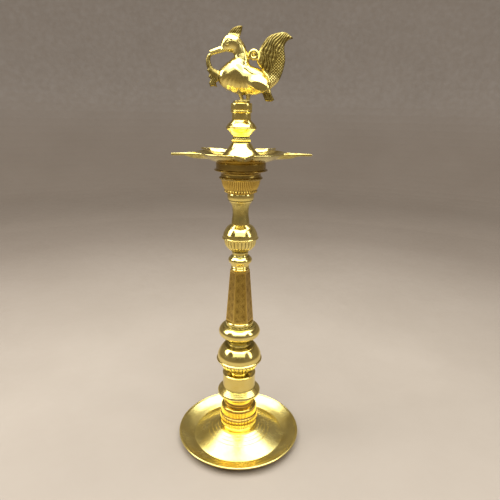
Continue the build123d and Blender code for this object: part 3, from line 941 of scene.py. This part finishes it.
# ---- materials ------------------------------------------------------------------------
class Nodes:
    """Short ways to add shader nodes."""

    def __init__(self, name):
        self.material = bpy.data.materials.new(name)
        self.material.use_nodes = True
        self.tree = self.material.node_tree
        self.shader = self.tree.nodes["Principled BSDF"]
        self.place = self.tree.nodes.new("ShaderNodeTexCoord").outputs["Object"]

    def link(self, source, target):
        self.tree.links.new(source, target)

    def noise(self, scale, detail=4.0, rough=0.55, stretch=None):
        node = self.tree.nodes.new("ShaderNodeTexNoise")
        node.inputs["Scale"].default_value = scale
        node.inputs["Detail"].default_value = detail
        node.inputs["Roughness"].default_value = rough
        source = self.place
        if stretch:
            mapping = self.tree.nodes.new("ShaderNodeMapping")
            mapping.inputs["Scale"].default_value = stretch
            self.link(source, mapping.inputs["Vector"])
            source = mapping.outputs["Vector"]
        self.link(source, node.inputs["Vector"])
        return node.outputs["Fac"]

    def ramp(self, source, stops):
        node = self.tree.nodes.new("ShaderNodeValToRGB")
        ramp = node.color_ramp
        while len(ramp.elements) < len(stops):
            ramp.elements.new(0.5)
        for element, (position, color) in zip(ramp.elements, stops):
            element.position = position
            element.color = (*color, 1) if isinstance(color, tuple) else (color, color, color, 1)
        self.link(source, node.inputs["Fac"])
        return node.outputs["Color"]

    def feed(self, value, socket):
        """Sets a socket to a number or colour, or links it to another node."""
        if isinstance(value, (int, float)):
            socket.default_value = value
        elif isinstance(value, tuple):
            socket.default_value = (*value, 1)
        else:
            self.link(value, socket)

    def mix(self, factor, a, b):
        node = self.tree.nodes.new("ShaderNodeMix")
        node.data_type = "RGBA"
        for value, socket in zip((factor, a, b), (node.inputs[0], node.inputs[6], node.inputs[7])):
            self.feed(value, socket)
        return node.outputs[2]

    def math(self, operation, a, b):
        node = self.tree.nodes.new("ShaderNodeMath")
        node.operation = operation
        self.feed(a, node.inputs[0])
        self.feed(b, node.inputs[1])
        return node.outputs[0]

    def distance(self):
        """Distance from the lamp's axis as a share of the floor's reach."""
        flat = self.tree.nodes.new("ShaderNodeVectorMath")
        flat.operation = "MULTIPLY"
        flat.inputs[1].default_value = (1, 1, 0)
        self.link(self.place, flat.inputs[0])
        length = self.tree.nodes.new("ShaderNodeVectorMath")
        length.operation = "LENGTH"
        self.link(flat.outputs[0], length.inputs[0])
        return self.math("DIVIDE", length.outputs["Value"], FLOOR_REACH)

    def attribute(self, name):
        node = self.tree.nodes.new("ShaderNodeAttribute")
        node.attribute_name = name
        return node.outputs["Fac"]

    def bump(self, height, distance, strength=1.0, below=None):
        node = self.tree.nodes.new("ShaderNodeBump")
        node.inputs["Distance"].default_value = distance
        node.inputs["Strength"].default_value = strength
        self.link(height, node.inputs["Height"])
        if below is not None:
            self.link(below, node.inputs["Normal"])
        return node.outputs["Normal"]


def brass(name, bright, deep, patina, rough, patina_start=0.25, grain=0.0, waver=0.00010):
    """Polished brass: warm and cool patches, patina in the cuts and painted shade where the pieces'
    tone holds it, smudges, turning lines and the slight waver of a hand-finished surface. grain
    and waver are depths in metres."""
    n = Nodes(name)
    patches = n.ramp(n.noise(26, 5, 0.6), [(0.36, deep), (0.62, bright)])
    specks = n.noise(620, 3, 0.7)
    clean = n.mix(n.ramp(specks, [(0.60, 0.0), (0.80, 0.35)]), patches, patina)
    spread = n.math("MULTIPLY", n.math("SUBTRACT", n.noise(190, 5), 0.5), 0.5)
    # The tone attribute: patina in the cuts, and painted shade on some pieces.
    patina_and_shade_depth = n.math("ADD", n.attribute("tone"), spread)
    toned = n.ramp(patina_and_shade_depth, [(patina_start, 0.0), (0.92, 1.0)])
    n.link(n.mix(toned, clean, patina), n.shader.inputs["Base Color"])
    smudge = n.ramp(n.noise(48, 6, 0.65), [(0.35, rough), (0.75, rough + 0.09)])
    rubbed = n.ramp(n.noise(900, 2, 0.6, (1, 1, 0.25)), [(0.45, 0.0), (0.9, 0.6)])
    polish = n.mix(rubbed, smudge, RUBBED)
    n.link(n.mix(toned, polish, DULL), n.shader.inputs["Roughness"])
    lines = n.bump(n.noise(1, 2, 0.6, (60, 60, 2600)), 0.00002, 0.35)
    hand = n.bump(n.noise(70, 2, 0.4), waver, 1.0, lines)
    if grain:
        hand = n.bump(n.noise(1500, 3, 0.6), grain, 1.0, hand)
    n.link(hand, n.shader.inputs["Normal"])
    n.shader.inputs["Metallic"].default_value = 1.0
    return n.material


RUBBED = (0.34, 0.34, 0.34)     # roughness where cloths have rubbed
DULL = (0.48, 0.48, 0.48)       # roughness of full patina
BRIGHT = (0.92, 0.785, 0.29)
YELLOW = (0.86, 0.68, 0.19)
GOLD = (0.76, 0.54, 0.12)
AMBER = (0.58, 0.39, 0.08)
BRONZE = (0.50, 0.36, 0.09)
BROWN = (0.34, 0.23, 0.06)
UMBER = (0.24, 0.14, 0.03)
OLIVE = (0.15, 0.12, 0.03)
SMOKE = (0.125, 0.08, 0.013)
DARK = (0.06, 0.045, 0.014)
MATERIALS = {
    "polished_brass": brass("polished_brass", BRIGHT, YELLOW, OLIVE, 0.10),
    "fluted_brass": brass("fluted_brass", GOLD, AMBER, UMBER, 0.15, patina_start=0.2),
    "chased_brass": brass("chased_brass", GOLD, AMBER, UMBER, 0.18, patina_start=0.15,
                          grain=0.00003),
    # toned_brass is a darker brown copy of the brass: painted shade standing in for the dark
    # reflections on its polished pieces.
    "toned_brass": brass("toned_brass", BRONZE, BROWN, DARK, 0.20),
    "spun_brass": brass("spun_brass", BRIGHT, YELLOW, OLIVE, 0.2),
    "cast_brass": brass("cast_brass", BRIGHT, YELLOW, SMOKE, 0.12, grain=0.000015, waver=0.00014),
}
OWN_LOOK = {"base_dish": "spun_brass"}      # pieces that don't look as their slot's other pieces


# ---- put the pieces on their bodies ---------------------------------------------------
MAKERS = [
    base_dish, foot_ring, foot, drum, bulb_knop, torus_knop, shaft_ring, hex_shaft, shaft_top_ring,
    collar, petal_knop, vase_neck, ribbed_cup, lower_disc, upper_disc, seat_drum, oil_plate,
    stem_washer, stem_bell, stem_knop, stem_socket, finial_collar, hamsa, hamsa_stud,
]
for maker in MAKERS:
    node = maker.__name__
    piece = maker()
    piece.data.materials.append(MATERIALS[OWN_LOOK.get(node, SLOT_OF[node])])
    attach(piece, BODY_OF[node])
    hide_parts(node)


# ---- stage, camera and light ----------------------------------------------------------
FLOOR_REACH = 4.0           # metres over which the floor's tone is measured
FLOOR_TONES = ((0.285, 0.24, 0.195), (0.315, 0.267, 0.22))
# Colour the floor is painted towards far from the lamp: painted shade.
FLOOR_FAR_SHADE = (0.10, 0.072, 0.054)
WORLD_COLOR = (1.0, 0.80, 0.58, 1)
WORLD_STRENGTH = 0.31
COOL = (0.97, 1.0, 1.0)
WHITE = (1, 1, 1)
SOFTBOXES = (               # name, place, aim, size, watts, color
    ("sky_box", (0, -0.2, 2.4), (0, 0, 0.3), (3.2, 3.2), 150, COOL),
    ("left_box", (-1.3, -0.1, 1.1), (-0.5, 0.1, 0), (0.6, 1.0), 12, WHITE),
    ("right_box", (1.6, -0.6, 1.2), (0, 0, 0.3), (0.4, 1.0), 6, WHITE),
    ("front_box", (0, -2.0, 2.0), (0, 0, 0.35), (3.2, 0.9), 17, COOL),
)
CAMERA_BACK, CAMERA_UP = 1.0386, 0.8254     # in lamp heights
CAMERA_SIDE = 0.0142
CAMERA_PITCH, CAMERA_ROLL = radians(16.72), radians(0.9)
LENS = 32.83                # on a sensor 36 mm wide


def floor():
    """Large pale disc that curves up gently at its edge, painted darker away from the lamp: painted
    shade.
    """
    runs = [(0, 0), (1600, 0), [(2400, 60), (3000, 500), (3150, 1300)], (3200, 2600)]
    obj = lathe("pale_floor", densify(expand(runs, 12), []), ring_angles(96))
    obj.data.flip_normals()
    n = Nodes("pale_floor")
    stone = n.ramp(n.noise(3, 5), list(zip((0.3, 0.7), FLOOR_TONES)))
    # Painted shade: the floor darkens with distance from the lamp.
    far_shade = n.ramp(n.distance(), [(0.4 / FLOOR_REACH, 0.0), (1.3 / FLOOR_REACH, 0.55)])
    n.link(n.mix(far_shade, stone, FLOOR_FAR_SHADE), n.shader.inputs["Base Color"])
    n.link(n.ramp(n.noise(30, 5), [(0.3, 0.55), (0.7, 0.7)]), n.shader.inputs["Roughness"])
    obj.data.materials.append(n.material)


def softbox(name, place, aim, size, watts, color):
    light = bpy.data.lights.new(name, "AREA")
    light.shape = "RECTANGLE"
    light.size, light.size_y = size
    light.energy = watts
    light.color = color
    obj = bpy.data.objects.new(name, light)
    obj.location = place
    obj.rotation_euler = (Vector(aim) - Vector(place)).to_track_quat("-Z", "Y").to_euler()
    bpy.context.collection.objects.link(obj)


def sky():
    """Warm even light from all sides."""
    world = bpy.data.worlds.new("studio")
    world.use_nodes = True
    background = world.node_tree.nodes["Background"]
    background.inputs["Color"].default_value = WORLD_COLOR
    background.inputs["Strength"].default_value = WORLD_STRENGTH
    bpy.context.scene.world = world


def camera():
    """Stands in front of the lamp, above its middle, and looks down at it."""
    tall = high("hamsa") * MM
    data = bpy.data.cameras.new("camera")
    data.sensor_width = 36.0
    data.lens = LENS
    obj = bpy.data.objects.new("camera", data)
    obj.location = (CAMERA_SIDE, -CAMERA_BACK * tall, CAMERA_UP * tall)
    down = Matrix.Rotation(radians(90) - CAMERA_PITCH, 3, "X")
    obj.rotation_euler = (down @ Matrix.Rotation(CAMERA_ROLL, 3, "Z")).to_euler()
    bpy.context.collection.objects.link(obj)
    bpy.context.scene.camera = obj


floor()
for box in SOFTBOXES:
    softbox(*box)
sky()
camera()
bpy.context.scene.view_settings.view_transform = "Standard"
